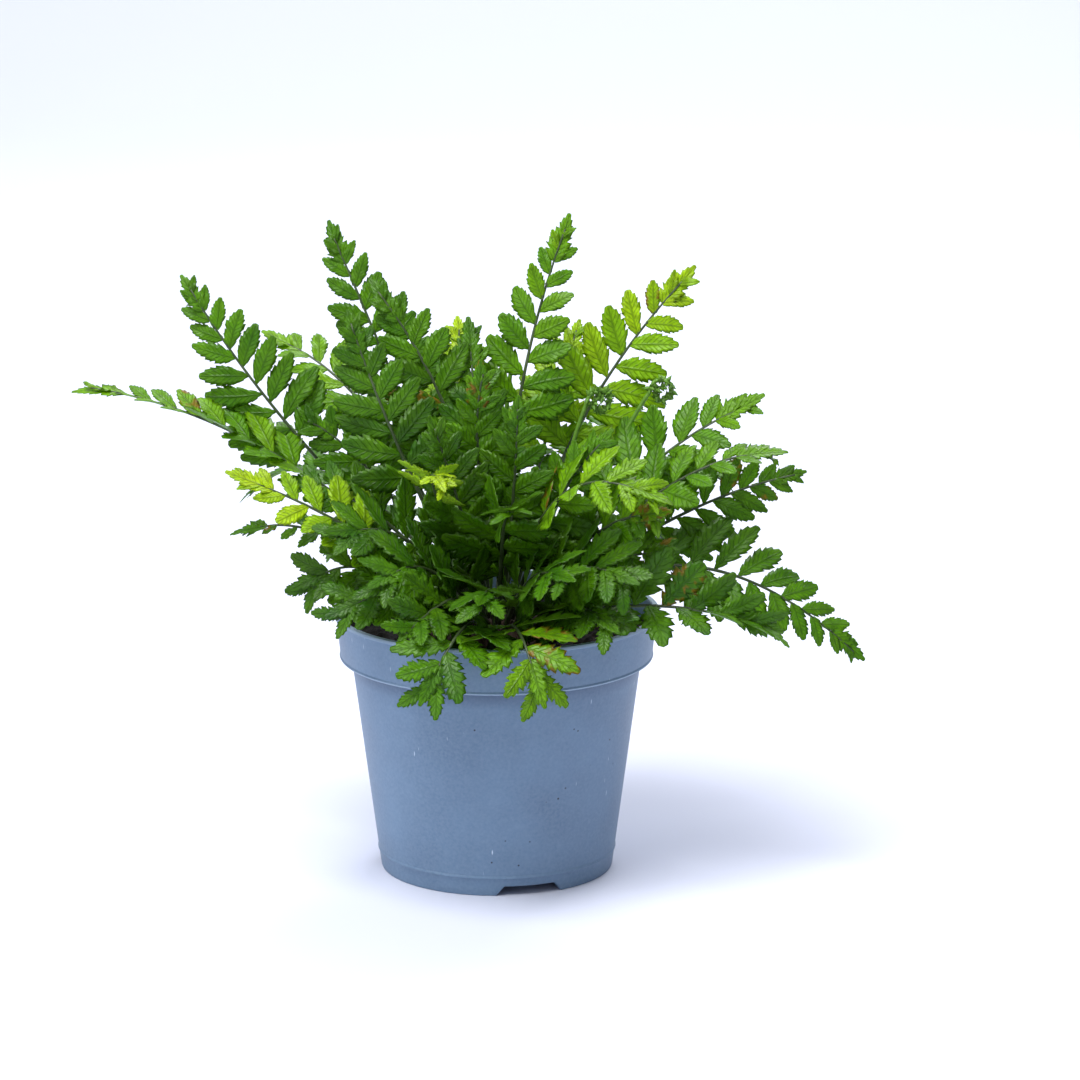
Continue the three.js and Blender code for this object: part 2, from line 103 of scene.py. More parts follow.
def add_node(tree, kind, inputs=(), **settings):
    """Adds one shader node. inputs maps input sockets to values, to output sockets, or to nodes,
    which stand for their first output."""
    made = tree.nodes.new("ShaderNode" + kind)
    for name, value in settings.items():
        setattr(made, name, value)
    for name, value in dict(inputs).items():
        if isinstance(value, bpy.types.Node):
            value = value.outputs[0]
        if isinstance(value, bpy.types.NodeSocket):
            tree.links.new(value, made.inputs[name])
        else:
            made.inputs[name].default_value = value
    return made


def new_material(name):
    """An empty node material with its output, ready for a shader."""
    material = bpy.data.materials.new(name)
    material.use_nodes = True
    material.node_tree.nodes.clear()
    return material, material.node_tree


def bent_wall(profile, steps):
    """Points evenly spread along a profile of (radius, height) corners, the corners kept."""
    corners = np.array(profile)
    spans = np.linalg.norm(np.diff(corners, axis=0), axis=1)
    parts = []
    for start, end, span in zip(corners[:-1], corners[1:], spans):
        count = max(1, int(np.ceil(span / steps)))
        parts.append(start + (end - start) * np.arange(count)[:, None] / count)
    return np.vstack([*parts, corners[-1:]])


def grid_faces(rows, columns, closed):
    """Quads between the rows of a grid. closed joins the last column to the first."""
    row, column = np.meshgrid(np.arange(rows - 1), np.arange(columns if closed else columns - 1),
                              indexing="ij")
    after = (column + 1) % columns
    corners = [row * columns + column, row * columns + after,
               (row + 1) * columns + after, (row + 1) * columns + column]
    return np.stack(corners, -1).reshape(-1, 4)


def mesh_piece(name, points, faces, material, smooth=True):
    """A new object at the origin with these points in metres, riding on the one body."""
    mesh = bpy.data.meshes.new(name)
    mesh.from_pydata(points.reshape(-1, 3).tolist(), [], [list(face) for face in faces])
    mesh.update()
    mesh.polygons.foreach_set("use_smooth", np.full(len(mesh.polygons), smooth))
    mesh.materials.append(material)
    piece = bpy.data.objects.new(name, mesh)
    bpy.context.scene.collection.objects.link(piece)
    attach(piece, "root")
    return piece


def body_radius(height):
    """Outside radius of the tapered body: a straight taper from the base to the band."""
    return BASE_RADIUS + (BODY_TOP_RADIUS - BASE_RADIUS) * height / (POT_HEIGHT - BAND_HEIGHT)


def notch_rise(angle):
    """How far the foot's lower edge stands above the table: zero on the ring, the notch's
    height in a notch, and a straight slant between its bottom and top corners."""
    off = np.abs((angle[:, None] - NOTCH_CENTRES + np.pi) % (2 * np.pi) - np.pi).min(axis=1)
    return NOTCH_HEIGHT * np.clip((NOTCH_HALF - off) / (NOTCH_HALF - NOTCH_TOP_HALF), 0, 1)


def pot_shell():
    """The wall's profile carried round the axis. Angles run from the front towards +X. Points
    of the foot below the notch's edge are lifted to it, so the notches are part of the surface."""
    band_foot = POT_HEIGHT - BAND_HEIGHT
    lip_foot = POT_HEIGHT - LIP_HEIGHT
    floor_top = FLOOR_UNDERSIDE + WALL
    bead = 0.28
    foot_in = BASE_RADIUS - 2.4
    profile = bent_wall([
        (0.4, FLOOR_UNDERSIDE), (foot_in + 0.2, FLOOR_UNDERSIDE), (foot_in, 0.4), (foot_in + 0.3, 0),
        (BASE_RADIUS - 0.5, 0), (BASE_RADIUS - 0.1, 0.15), (BASE_RADIUS + 0.05, 0.6),
        (body_radius(MOULD_LINE - 0.8), MOULD_LINE - 0.8),
        (body_radius(MOULD_LINE) + bead, MOULD_LINE - 0.3),
        (body_radius(MOULD_LINE) + bead, MOULD_LINE + 0.2),
        (body_radius(MOULD_LINE + 0.6), MOULD_LINE + 0.6),
        (BODY_TOP_RADIUS, band_foot), (BODY_TOP_RADIUS + 0.1, band_foot + 0.9),
        (BODY_TOP_RADIUS + 0.6, band_foot + BAND_GROOVE), (BAND_FOOT_RADIUS - 1.0, band_foot + 0.25),
        (BAND_FOOT_RADIUS - 0.1, band_foot), (BAND_FOOT_RADIUS + 0.2, band_foot + 0.2),
        (BAND_FOOT_RADIUS + 0.35, band_foot + 0.6), (BAND_FOOT_RADIUS + 0.25, band_foot + 1.0),
        (BAND_FOOT_RADIUS + 0.08, band_foot + 1.3), (BAND_TOP_RADIUS, lip_foot - 0.3),
        (BAND_TOP_RADIUS + 0.25, lip_foot), (LIP_RADIUS - 0.2, lip_foot + 0.1),
        (LIP_RADIUS, lip_foot + 0.4), (LIP_RADIUS, POT_HEIGHT - 0.45), (LIP_RADIUS - 0.2, POT_HEIGHT - 0.1),
        (LIP_RADIUS - 0.6, POT_HEIGHT), (BAND_TOP_RADIUS - WALL + 0.3, POT_HEIGHT),
        (BAND_TOP_RADIUS - WALL, POT_HEIGHT - 0.3),
        (BAND_FOOT_RADIUS - WALL, band_foot + BAND_GROOVE + WALL + 0.5),
        (BAND_FOOT_RADIUS - WALL - 0.5, band_foot + BAND_GROOVE + WALL),
        (BODY_TOP_RADIUS - WALL + 0.4, band_foot + BAND_GROOVE + WALL),
        (BODY_TOP_RADIUS - WALL, band_foot + BAND_GROOVE),
        (body_radius(floor_top) - WALL, floor_top + 0.4), (body_radius(floor_top) - WALL - 0.5, floor_top),
        (0.4, floor_top),
    ], 2.0)
    edges = np.concatenate([NOTCH_CENTRES + side * half for side in (-1, 1)
                            for half in (NOTCH_HALF, NOTCH_TOP_HALF)])
    angle = np.unique(np.round(np.concatenate([np.linspace(0, 2 * np.pi, 180, endpoint=False),
                                               edges % (2 * np.pi)]), 6))
    radius, height = profile[:, :1], np.repeat(profile[:, 1:], len(angle), axis=1)
    ring = (radius > foot_in - 0.5) & (height < NOTCH_HEIGHT) & (np.arange(len(profile))[:, None] < 30)
    height = np.where(ring, np.maximum(height, notch_rise(angle)[None, :]), height)
    around = np.stack([radius * np.sin(angle), -radius * np.cos(angle), height], -1)
    return pot_axis + around * MM


pot_material, tree = new_material("moulded_polypropylene_blue_grey")
# Injection-moulded polypropylene: a dull waxy sheen, finely mottled by the recycled pigment,
# with rubbed pale scratches and dark specks of compost, painted highlights on the rim bead and the
# band's foot edge, and painted shade mixed with dust under the band.
# Sizes: mottle 1.1 mm, drawn coarser than the pigment so that it shows; clouds 26 mm; specks set 5 mm
# apart in patches of 11 mm; scratches 1.5 by 33 mm in patches of 17 mm.
place = add_node(tree, "TexCoord").outputs["Object"]
mottle = add_node(tree, "TexNoise", {"Vector": place, "Scale": 900.0, "Detail": 3.0})
cloud = add_node(tree, "TexNoise", {"Vector": place, "Scale": 38.0, "Detail": 4.0})
cloud_ramp = add_node(tree, "MapRange", {"Value": cloud, "From Min": 0.35, "From Max": 0.7})
base = add_node(tree, "Mix", {
    0: cloud_ramp, 6: linear("#5c7690"), 7: linear("#67839e")}, data_type="RGBA").outputs[2]
mottle_ramp = add_node(tree, "MapRange", {
    "Value": mottle, "From Min": 0.3, "From Max": 0.75, "To Max": 0.35})
base = add_node(tree, "Mix", {0: mottle_ramp, 6: base, 7: linear("#8499b0")}, data_type="RGBA").outputs[2]
specks = add_node(tree, "TexVoronoi", {"Vector": place, "Scale": 210.0, "Randomness": 1.0})
speck_size = add_node(tree, "MapRange", {
    "Value": specks, "From Min": 0.05, "From Max": 0.11, "To Min": 1.0, "To Max": 0.0})
rare = add_node(tree, "TexNoise", {"Vector": place, "Scale": 95.0, "Detail": 0.0})
rare_ramp = add_node(tree, "MapRange", {"Value": rare, "From Min": 0.58, "From Max": 0.64})
speck_mask = add_node(tree, "Math", {0: speck_size, 1: rare_ramp}, operation="MULTIPLY")
base = add_node(tree, "Mix", {0: speck_mask, 6: base, 7: linear("#2c2f36")}, data_type="RGBA").outputs[2]
stretch = add_node(tree, "Mapping", {
    "Vector": place, "Rotation": (0.0, 0.12, 0.4), "Scale": (650.0, 650.0, 30.0)})
scratch = add_node(tree, "TexVoronoi", {"Vector": stretch, "Scale": 1.0})
scratch_ramp = add_node(tree, "MapRange", {
    "Value": scratch, "From Min": 0.05, "From Max": 0.12, "To Min": 1.0, "To Max": 0.0})
where = add_node(tree, "TexNoise", {"Vector": place, "Scale": 60.0, "Detail": 0.0})
where_ramp = add_node(tree, "MapRange", {"Value": where, "From Min": 0.66, "From Max": 0.7})
scratch_mask = add_node(tree, "Math", {0: scratch_ramp, 1: where_ramp}, operation="MULTIPLY")
base = add_node(tree, "Mix", {
    0: scratch_mask, 6: base, 7: linear("#c9d6e6")}, data_type="RGBA").outputs[2]
# painted highlight: the bead on the rim and the band's foot edge are drawn paler where they catch
# the light; painted shade mixed with dust greys the wall under the band
height = add_node(tree, "SeparateXYZ", {"Vector": place}).outputs["Z"]
bead = add_node(tree, "MapRange", {"Value": height, "From Min": 0.0956, "From Max": 0.0963})
from_edge = add_node(tree, "Math", {0: height, 1: 0.0801}, operation="SUBTRACT")
from_edge = add_node(tree, "Math", {0: from_edge}, operation="ABSOLUTE")
edge = add_node(tree, "MapRange", {
    "Value": from_edge, "From Min": 0.0001, "From Max": 0.0004, "To Min": 1.0, "To Max": 0.0})
# painted highlight along the rim bead and the band's foot edge
painted_edge_highlight = add_node(tree, "Math", {0: bead, 1: edge}, operation="MAXIMUM")
painted_edge_highlight = add_node(tree, "Math", {0: painted_edge_highlight, 1: 0.42}, operation="MULTIPLY")
base = add_node(tree, "Mix", {0: painted_edge_highlight, 6: base, 7: linear("#b3c6d6")}, data_type="RGBA").outputs[2]
# painted shade under the band's overhang, mixed with dust: the wall darkens from 73 mm up to just below the
# band
dust_and_shade_rise = add_node(tree, "MapRange", {"Value": height, "From Min": 0.073, "From Max": 0.079})
dust_and_shade_cut = add_node(tree, "MapRange", {
    "Value": height, "From Min": 0.0792, "From Max": 0.0795, "To Min": 1.0, "To Max": 0.0})
dust_and_shade = add_node(tree, "Math", {0: dust_and_shade_rise, 1: dust_and_shade_cut}, operation="MULTIPLY")
dust_and_shade = add_node(tree, "Math", {0: dust_and_shade, 1: cloud}, operation="MULTIPLY")
base = add_node(tree, "Mix", {0: dust_and_shade, 6: base, 7: linear("#36435a")}, data_type="RGBA").outputs[2]
rough = add_node(tree, "MapRange", {"Value": cloud, "To Min": 0.38, "To Max": 0.56})
grain = add_node(tree, "Bump", {"Height": mottle, "Strength": 0.12, "Distance": 0.0002})
shader = add_node(tree, "BsdfPrincipled", {
    "Base Color": base, "Roughness": rough, "IOR": 1.49, "Normal": grain})
add_node(tree, "OutputMaterial", {"Surface": shader})


def capped_faces(rows, columns):
    """The faces of a grid that closes round on itself, with a face over each end."""
    sides = grid_faces(rows, columns, True)
    ends = [list(range(columns))[::-1], [(rows - 1) * columns + column for column in range(columns)]]
    return [list(face) for face in sides] + ends


def drain_cutter():
    """Six upright cylinders, each a closed grid of two rings, standing through the floor."""
    centre = (np.arange(DRAIN_HOLES) + 0.5) * 2 * np.pi / DRAIN_HOLES
    angle = np.linspace(0, 2 * np.pi, 32, endpoint=False)
    x = DRAIN_CIRCLE * np.cos(centre)[:, None] + DRAIN_RADIUS * np.cos(angle)
    y = DRAIN_CIRCLE * np.sin(centre)[:, None] + DRAIN_RADIUS * np.sin(angle)
    rings = [np.stack([x, y, np.full_like(x, height)], -1) for height in (1.0, FLOOR_UNDERSIDE + 3 * WALL)]
    return pot_axis + np.stack(rings, 1) * MM


shell = pot_shell()
pot = mesh_piece("pot_shell", shell, capped_faces(*shell.shape[:2]), pot_material)
cylinders = drain_cutter()
holes, rings, around = cylinders.shape[:3]
pattern = capped_faces(rings, around)
cutter_mesh = bpy.data.meshes.new("drain_cutter")
cutter_mesh.from_pydata(cylinders.reshape(-1, 3).tolist(), [],
                        [[corner + hole * rings * around for corner in face]
                         for hole in range(holes) for face in pattern])
cutter = bpy.data.objects.new("drain_cutter", cutter_mesh)
bpy.context.scene.collection.objects.link(cutter)
drilling = pot.modifiers.new("drain_holes", "BOOLEAN")
drilling.operation = "DIFFERENCE"
drilling.solver = "EXACT"
drilling.object = cutter
drilled = bpy.data.meshes.new_from_object(pot.evaluated_get(bpy.context.evaluated_depsgraph_get()))
pot.modifiers.clear()
pot.data = drilled
pot.data.set_sharp_from_angle(angle=float(np.radians(32)))
bpy.data.objects.remove(cutter)
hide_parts("pot")

# ---------------------------------------------------------------- root ball
# Moist peat held together by roots, filling the pot to a few millimetres below the rim. Its top
# is loose crumbs and fibres, almost black where it is wet.
SOIL_LEVEL = 90.0
SOIL_DISH_RADIUS = 27.0
SOIL_DISH_DEPTH = 3.0
GAP = 0.3



def lumps(x, y, count, reach, sizes, seed):
    """Height of a bed of round lumps: at each point, the highest of many half balls that are
    scattered over a disc, each a hemisphere of its own size."""
    random = np.random.default_rng(seed)
    angle, share = random.uniform(0, 2 * np.pi, count), np.sqrt(random.uniform(0, 1, count))
    size = random.uniform(*sizes, count)
    off = (x[..., None] - reach * share * np.cos(angle)) ** 2
    off = off + (y[..., None] - reach * share * np.sin(angle)) ** 2
    return np.sqrt(np.clip(size**2 - off, 0, None)).max(axis=-1)


def root_ball():
    """A profile carried round the axis: the underside, the wall inside the pot and the top,
    whose rings are raised by two sizes of lumps."""
    floor_top = FLOOR_UNDERSIDE + WALL
    step = POT_HEIGHT - BAND_HEIGHT + BAND_GROOVE + WALL
    inside = WALL + GAP
    side = [(0.3, floor_top + GAP), (body_radius(floor_top) - inside, floor_top + GAP),
            (body_radius(step) - inside - 0.3, step + GAP), (BAND_FOOT_RADIUS - inside, step + GAP),
            (BAND_FOOT_RADIUS - inside + 0.4, SOIL_LEVEL - 1.5)]
    top = np.linspace(BAND_FOOT_RADIUS - inside + 0.2, 0.3, 96)
    dish = SOIL_DISH_DEPTH * np.clip((SOIL_DISH_RADIUS + 5 - top) / 5, 0, 1)
    radius = np.concatenate([[spot[0] for spot in side], top])
    height = np.concatenate([[spot[1] for spot in side], SOIL_LEVEL - dish])
    angle = np.linspace(0, 2 * np.pi, 260, endpoint=False)
    x, y = radius[:, None] * np.cos(angle), radius[:, None] * np.sin(angle)
    z = np.repeat(height[:, None], len(angle), axis=1)
    loose = lumps(x[5:], y[5:], 900, 56.0, (0.7, 2.0), 3)
    loose += 0.5 * lumps(x[5:], y[5:], 1500, 56.0, (0.3, 0.9), 4)
    z[5:] += loose - 1.0
    return pot_axis + np.stack([x, y, z], -1) * MM


peat_material, tree = new_material("moist_fibrous_peat")
# Wet peat: nearly black-brown, matt, with lighter dry crumbs and a few rusty fibres.
# Crumbs are 1.4 mm across, and rusty patches 8 mm.
place = add_node(tree, "TexCoord").outputs["Object"]
crumb = add_node(tree, "TexNoise", {"Vector": place, "Scale": 700.0, "Detail": 6.0, "Roughness": 0.7})
patch = add_node(tree, "TexNoise", {"Vector": place, "Scale": 120.0, "Detail": 2.0})
dry = add_node(tree, "MapRange", {"Value": crumb, "From Min": 0.45, "From Max": 0.75})
base = add_node(tree, "Mix", {
    0: dry, 6: linear("#090604"), 7: linear("#241a12")}, data_type="RGBA").outputs[2]
rust = add_node(tree, "MapRange", {"Value": patch, "From Min": 0.62, "From Max": 0.72, "To Max": 0.6})
base = add_node(tree, "Mix", {0: rust, 6: base, 7: linear("#3a2413")}, data_type="RGBA").outputs[2]
lumpy = add_node(tree, "Bump", {"Height": crumb, "Strength": 0.8, "Distance": 0.0008})
shader = add_node(tree, "BsdfPrincipled", {
    "Base Color": base, "Roughness": 0.92, "IOR": 1.4, "Normal": lumpy})
add_node(tree, "OutputMaterial", {"Surface": shader})

ball = root_ball()
soil = mesh_piece("root_ball", ball, capped_faces(*ball.shape[:2]), peat_material)
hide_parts("soil")

# ---------------------------------------------------------------- crown
# The rhizome: a low knobbly clump of old stalk bases and brown scales, sunk in the peat.
CROWN_RADIUS = 25.0
CROWN_HEIGHT = 6.0


def crown_top(radius):
    """Height of the clump's rounded top: highest in the middle, falling with the square of the
    distance from it."""
    share = np.minimum(radius / CROWN_RADIUS, 1)
    return SOIL_LEVEL - SOIL_DISH_DEPTH + GAP + CROWN_HEIGHT * (1 - 0.6 * share**2)


def rhizome():
    """Rings from the foot inwards over the top, roughened by lumps that fade at the edge."""
    radius = np.concatenate([[0.3, CROWN_RADIUS - 1], np.linspace(CROWN_RADIUS - 0.2, 0.3, 44)])
    foot = SOIL_LEVEL - SOIL_DISH_DEPTH + GAP
    height = np.concatenate([[foot, foot], crown_top(radius[2:])])
    angle = np.linspace(0, 2 * np.pi, 150, endpoint=False)
    x, y = radius[:, None] * np.cos(angle), radius[:, None] * np.sin(angle)
    z = np.repeat(height[:, None], len(angle), axis=1)
    z[2:] += 0.7 * lumps(x[2:], y[2:], 260, CROWN_RADIUS, (0.8, 2.2), 11) - 0.9
    return pot_axis + np.stack([x, y, z], -1) * MM


rhizome_material, tree = new_material("scaly_brown_rhizome")
# Dry brown scales over a dark woody core: matt, streaky, mottled from tan to black-brown.
# Scales are 2 mm across, and streaks 3 mm.
place = add_node(tree, "TexCoord").outputs["Object"]
scales = add_node(tree, "TexVoronoi", {"Vector": place, "Scale": 520.0})
streaks = add_node(tree, "TexNoise", {"Vector": place, "Scale": 340.0, "Detail": 5.0})
base = add_node(tree, "Mix", {
    0: streaks, 6: linear("#1c110a"), 7: linear("#5f4226")}, data_type="RGBA").outputs[2]
edge = add_node(tree, "MapRange", {"Value": scales, "From Max": 0.6, "To Min": 0.0, "To Max": 0.7})
base = add_node(tree, "Mix", {0: edge, 6: base, 7: linear("#22150c")}, data_type="RGBA").outputs[2]
raised = add_node(tree, "Bump", {"Height": scales, "Strength": 0.7, "Distance": 0.0006})
shader = add_node(tree, "BsdfPrincipled", {
    "Base Color": base, "Roughness": 0.85, "IOR": 1.45, "Normal": raised})
add_node(tree, "OutputMaterial", {"Surface": shader})

clump = rhizome()
crown = mesh_piece("rhizome_clump", clump, capped_faces(*clump.shape[:2]), rhizome_material)
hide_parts("crown")

# ---------------------------------------------------------------- fronds
# Each frond is one leaf that grew whole: a wiry dark stalk that runs on as the midrib, and thin
# toothed leaflets in two ranks, each a little folded along its own vein and drooping at the tip.
STALK = 0.8
STALK_SAMPLES = 40
STALK_DISTANCE = 2.3
FOOT_ASIDES = (0, 20, -20, 40, -40, 60, -60, 80, -80, 110, -110)
FOOT_OUTS = (1, 1.4, 0.6, 1.8)
TEETH = 9
RING = np.array([-1.0, -0.55, 0.0, 0.55, 1.0, 0.55, 0.0, -0.55])
UPPER = np.array([0, 1, 1, 1, 0, -1, -1, -1])

# Middle point and tip in mm from the pot's axis, the length that carries leaflets, the longest
# leaflet, the turn of the upper face from the sky (0) to the front (90), the leaflet pairs, and
# the age of the leaf, from 0 for the darkest old frond to 1 for the palest young one; it also
# holds painted shade, as the low fronds at the front left are set darker where the plant shades them.
# Last come a frond's own habits; LARGE is that of the big leaflets in front, which hardly shorten.
LARGE = {"taper": 0.5, "broad": 1.68}
FROND_WORDS = ("mid", "tip", "blade", "leaf", "turn", "pairs", "age_and_shade")
FROND_ROWS = (
    ((-78, -6, 155), (-149, -12, 183), 90, 22, 12, 8, 0.55, {"lift": 26, "slant": 52}),
    ((-70, 4, 158), (-113, 12, 217), 76, 25, 75, 8, 0.36, {}),
    ((-32, 16, 165), (-61, 30, 233), 84, 26, 78, 8, 0.32, {}),
    ((-14, 0, 160), (-44, 6, 216), 72, 26, 70, 6, 0.28, {}),
    ((-33, -11, 155), (-53, -6, 207), 64, 25, 72, 6, 0.26, {}),
    ((-46, 40, 160), (-86, 60, 186), 56, 22, 20, 5, 0.6, {}),
    ((8, 12, 170), (26, 20, 237), 79, 23, 60, 7, 0.5, {}),
    ((30, 22, 160), (71, 32, 216), 80, 28, 75, 7, 0.78, {"slant": 74}),
    ((52, 4, 146), (95, 2, 174), 66, 26, 40, 5, 0.5, {}),
    ((62, -14, 146), (102, -12, 157), 62, 22, 30, 5, 0.5, {}),
    ((62, 2, 129), (111, 4, 147), 68, 24, 72, 8, 0.28, {}),
    ((72, -12, 116), (132, -14, 83), 82, 25, 50, 8, 0.42, {"lobes": 0.2}),
    ((56, -38, 108), (101, -36, 98), 78, 29, 55, 6, 0.3, dict(LARGE, lift=50, lobes=0.28)),
    ((-12, -57, 104), (-25, -72, 83), 56, 29, 45, 5, 0.36, dict(LARGE, broad=1.6, lobes=0.36)),
    ((9, -60, 103), (16, -75, 83), 52, 28, 45, 4, 0.55, dict(LARGE, broad=1.6, lobes=0.36, sick=0.12)),
    ((-48, -22, 118), (-70, -24, 108), 46, 22, 55, 4, 0.14, dict(LARGE, lobes=0.26)),
    ((-62, -4, 126), (-94, 0, 124), 40, 11, 30, 4, 0.45, {}),
    ((-50, -26, 132), (-94, -30, 154), 60, 22, 35, 5, 0.82, {}),
    ((24, -34, 148), (59, -50, 149), 56, 27, 30, 4, 0.62, {"lobes": 0.26}),
    ((-22, -34, 150), (-17, -58, 154), 38, 18, 20, 4, 0.9, {"lobes": 0.36}),
    ((-6, -6, 150), (-10, 12, 200), 84, 26, 70, 7, 0.3, {}),
    ((6, -20, 140), (8, -30, 180), 72, 27, 60, 6, 0.34, {}),
    ((-12, -24, 138), (-22, -36, 174), 70, 27, 60, 6, 0.2, {}),
    ((20, -22, 138), (40, -28, 168), 66, 26, 50, 6, 0.38, {}),
    ((30, -40, 122), (48, -56, 118), 54, 28, 50, 5, 0.26, dict(LARGE, lobes=0.28)),
    ((-26, -38, 122), (-42, -54, 116), 54, 28, 50, 5, 0.2, dict(LARGE, lobes=0.36)),
    ((-36, -36, 112), (-58, -46, 104), 48, 25, 50, 4, 0.2, dict(LARGE, lift=16, lobes=0.36)),
    ((-2, -46, 116), (-6, -68, 112), 58, 28, 50, 5, 0.22, dict(LARGE, lobes=0.32)),
    ((14, -42, 120), (26, -64, 122), 58, 27, 50, 5, 0.3, dict(LARGE, lobes=0.36)),
    ((42, -22, 120), (64, -32, 124), 48, 24, 50, 5, 0.24, {"lobes": 0.24, "sick": 0.1}),
    ((-44, 2, 146), (-70, 0, 168), 54, 25, 60, 5, 0.24, {}),
    ((-46, -14, 138), (-76, -16, 146), 52, 24, 40, 5, 0.28, {}),
    ((20, 34, 160), (30, 52, 192), 52, 22, 60, 5, 0.8, {}),
    ((-12, 36, 158), (-14, 60, 192), 52, 22, 60, 5, 0.8, {}),
    ((34, 50, 146), (52, 86, 150), 60, 22, 0, 5, 0.5, {}),
    ((2, 58, 148), (0, 102, 146), 64, 23, 0, 6, 0.45, {}),
    ((-32, 50, 146), (-52, 90, 142), 60, 22, 0, 5, 0.4, {}),
    ((54, 36, 136), (88, 52, 130), 60, 22, 10, 5, 0.45, {}),
    ((-58, 34, 138), (-94, 52, 126), 60, 22, 10, 5, 0.4, {}),
    ((42, 54, 118), (66, 82, 98), 56, 21, 0, 5, 0.35, {}),
    ((-40, 54, 118), (-64, 82, 96), 56, 21, 0, 5, 0.35, {}),
    ((8, 62, 124), (10, 98, 108), 56, 21, 0, 5, 0.4, {}),
    ((3, -33, 136), (6, -60, 146), 58, 26, 50, 5, 0.3, dict(LARGE, lobes=0.26)),
    ((-32, -28, 130), (-58, -44, 134), 48, 25, 50, 4, 0.22, dict(LARGE, lobes=0.24)),
    ((38, -30, 134), (60, -46, 140), 48, 24, 50, 4, 0.5, {}),
    ((24, -34, 110), (42, -60, 104), 50, 27, 55, 4, 0.2, dict(LARGE, lobes=0.36)),
    ((-14, -36, 110), (-32, -64, 104), 50, 27, 55, 4, 0.26, dict(LARGE, lift=32, lobes=0.36)),
    ((-6, -16, 152), (-4, -26, 192), 76, 25, 65, 6, 0.42, {}),
)
FRONDS = [dict(zip(FROND_WORDS, row), **row[-1]) for row in FROND_ROWS]


def stalk_from(frond, aside, out):
    """The three control points of a stalk: its foot on the crown, the bend, and its tip. The
    bend is placed so that the curve passes through the frond's middle point."""
    mid, tip = np.array(frond["mid"], float), np.array(frond["tip"], float)
    rise = mid[2] - SOIL_LEVEL
    steep = rise / np.hypot(np.hypot(mid[0], mid[1]), rise)
    radius = (4 + 17 * (1 - steep)) * out
    angle = np.arctan2(mid[1], mid[0]) + np.radians(aside)
    foot = np.array([radius * np.cos(angle), radius * np.sin(angle), crown_top(radius) + GAP + STALK])
    return np.array([foot, 2 * mid - foot / 2 - tip / 2, tip])


def along_curve(control, share):
    """Points on the quadratic curve through three control points, at shares of its parameter."""
    t = np.asarray(share)[:, None]
    return (1 - t) ** 2 * control[0] + 2 * t * (1 - t) * control[1] + t**2 * control[2]


def stalk_lines(fronds):
    """The control points of every stalk. Each takes the nearest free place on the crown."""
    lines, taken = [], np.empty((0, 3))
    spread = np.linspace(0, 1, STALK_SAMPLES + 1)
    for frond in fronds:
        tries = [stalk_from(frond, aside, out) for out in FOOT_OUTS for aside in FOOT_ASIDES]
        for control in tries:
            spots = along_curve(control, spread)
            gaps = np.linalg.norm(spots[:, None] - taken[None], axis=-1)
            if not taken.size or gaps.min() > STALK_DISTANCE:
                break
        else:
            control = tries[0]
            spots = along_curve(control, spread)
        lines.append(control)
        taken = np.vstack([taken, spots])
    return lines


def evenly(control, lengths):
    """The curve's points at lengths along it, and its direction there."""
    fine = np.linspace(0, 1, 400)
    spots = along_curve(control, fine)
    run = np.concatenate([[0], np.cumsum(np.linalg.norm(np.diff(spots, axis=0), axis=1))])
    share = np.interp(lengths, run, fine)
    slope = 2 * (1 - share)[:, None] * (control[1] - control[0])
    slope = slope + 2 * share[:, None] * (control[2] - control[1])
    return along_curve(control, share), slope / np.linalg.norm(slope, axis=1, keepdims=True)


def curve_length(control):
    """Length of the curve, summed over many short chords."""
    return np.linalg.norm(np.diff(along_curve(control, np.linspace(0, 1, 400)), axis=0), axis=1).sum()


def blade_frames(control, turn, lengths):
    """Spots along the midrib with its direction, the way the upper face looks and the direction
    across the blade, which together make a right-handed frame at every spot."""
    spot, tangent = evenly(control, lengths)
    look = np.array([0.0, -np.sin(np.radians(turn)), np.cos(np.radians(turn))])
    face = look - tangent * (tangent @ look)[:, None]
    face /= np.linalg.norm(face, axis=1, keepdims=True)
    return spot, tangent, face, np.cross(face, tangent)


def toothed_width(along, wide, looks):
    """Half the width of each leaflet along its vein. The base is a wedge that rises as a power
    of the distance, the tip is blunt like the end of an ellipse, and the edge is cut into
    forward teeth, every second notch deeper so that the teeth group into lobes."""
    peak, hold, lobes = (looks[key][:, None] for key in ("peak", "hold", "lobes"))
    rise = hold + (1 - hold) * np.clip(along / peak, 0, 1) ** 0.8
    fall = np.clip(1 - np.clip((along - peak) / (1 - peak), 0, 1) ** looks["blunt"][:, None], 0, 1) ** 0.8
    station = np.arange(len(along))
    depth = np.where(station % 4 == 0, 1.5, np.where(station % 4 == 2, 0.6, 0.0)) * (1 - along**4)
    return wide[:, None] / 2 * rise * fall * (1 - lobes * depth)


